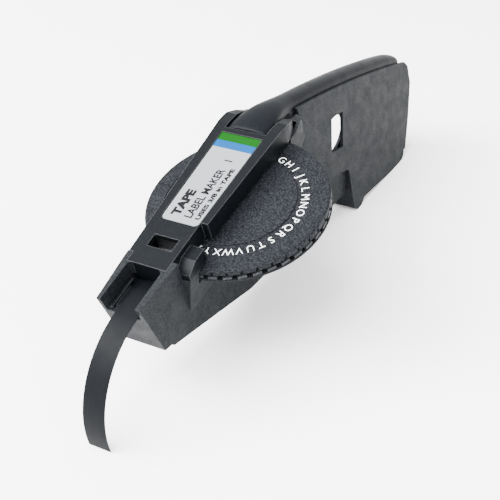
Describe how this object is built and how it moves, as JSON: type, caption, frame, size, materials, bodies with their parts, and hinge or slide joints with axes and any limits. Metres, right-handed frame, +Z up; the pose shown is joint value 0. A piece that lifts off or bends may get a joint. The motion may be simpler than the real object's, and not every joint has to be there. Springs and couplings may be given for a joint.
{
  "type": "label maker",
  "caption": "Hand embossing label maker: letter wheel under a narrow bridge, squeeze lever in a wedge-shaped handle that holds the tape, and a curl of tape out of the nose.",
  "frame": {"origin": "middle of the bounding box's base, on the surface that the label maker rests on; the letter wheel's axis lies in the plane Y = 0", "axes": "+X along the label maker from the nose to the butt of the handle, +Y to its left (away from the wheel's exposed side), +Z up; the deck slopes down towards the nose by the rest angle, 15.8 degrees"},
  "size_m": [0.2598, 0.072, 0.0765],
  "materials": {
    "case_plastic": "moulded, fine grain",
    "keel_plastic": "moulded, fine grain",
    "disc_plastic": "moulded, speckled grain",
    "die_plastic": "moulded, satin",
    "lever_plastic": "moulded, satin smooth",
    "label": "printed foil, satin",
    "stripe_green": "printed",
    "stripe_blue": "printed",
    "steel": "turned",
    "zinc_steel": "zinc plated, pressed",
    "spring_steel": "blued strip",
    "blade_steel": "ground",
    "brass": "turned",
    "hammer_metal": "sintered",
    "spool_plastic": "moulded",
    "tape": "smooth vinyl, satin gloss",
    "screw_steel": "zinc plated"
  },
  "bodies": {
    "case": {"case_right": "case_plastic", "case_left": "case_plastic", "keel": "keel_plastic", "deck_cover": "case_plastic", "tape_guide": "case_plastic", "anvil": "steel", "label_plate": "label", "label_stripe_green": "stripe_green", "label_stripe_blue": "stripe_blue", "wheel_post": "steel", "post_clip": "steel", "detent_spring": "spring_steel", "lever_pin": "steel", "lever_spring": "spring_steel", "spool_post": "case_plastic", "tape_strip": "tape", "door_hinge_pin": "steel", "case_screws": "screw_steel"},
    "letter_wheel": {"letter_disc": "disc_plastic", "die_disc": "die_plastic", "wheel_hub": "brass"},
    "lever": {"lever_shell": "lever_plastic", "lever_arm": "zinc_steel", "lever_rivets": "steel"},
    "hammer": {"hammer_block": "hammer_metal", "hammer_punch": "steel", "cutter_blade": "blade_steel"},
    "tape_feed": {"feed_slide": "zinc_steel", "feed_claw": "spring_steel"},
    "spool": {"tape_spool": "spool_plastic", "tape_roll": "tape"},
    "door": {"magazine_door": "case_plastic"}
  },
  "joints": [
    {"name": "wheel_spin", "type": "hinge", "parent": "case", "child": "letter_wheel", "pos_m": [-0.03986, 0, 0.05561], "axis": [-0.2723, 0, 0.9622], "continuous": true},
    {"name": "lever_squeeze", "type": "hinge", "parent": "case", "child": "lever", "pos_m": [0.00945, 0.0093, 0.05398], "axis": [0, 1, 0], "range_deg": [0, 2.5], "stiffness_Nm_per_rad": 20, "springref_deg": -2.86, "deforming": ["lever_spring"]},
    {"name": "hammer_lift", "type": "slide", "parent": "case", "child": "hammer", "axis": [-0.2723, 0, 0.9622], "range_m": [0, 0.0035]},
    {"name": "tape_feed_slide", "type": "slide", "parent": "case", "child": "tape_feed", "axis": [0.9622, 0, 0.2723], "range_m": [0, 0.0036]},
    {"name": "spool_spin", "type": "hinge", "parent": "case", "child": "spool", "pos_m": [0.10113, 0.0093, 0.0238], "axis": [0, 1, 0], "continuous": true},
    {"name": "magazine_door_swing", "type": "hinge", "parent": "case", "child": "door", "pos_m": [0.11364, 0.0093, 0.00531], "axis": [0, 1, 0], "range_deg": [0, 60]}
  ],
  "couplings": [
    {"joint": "hammer_lift", "follows": "lever_squeeze", "m_per_rad": 0.080206},
    {"joint": "tape_feed_slide", "follows": "lever_squeeze", "m_per_rad": 0.082498}
  ]
}
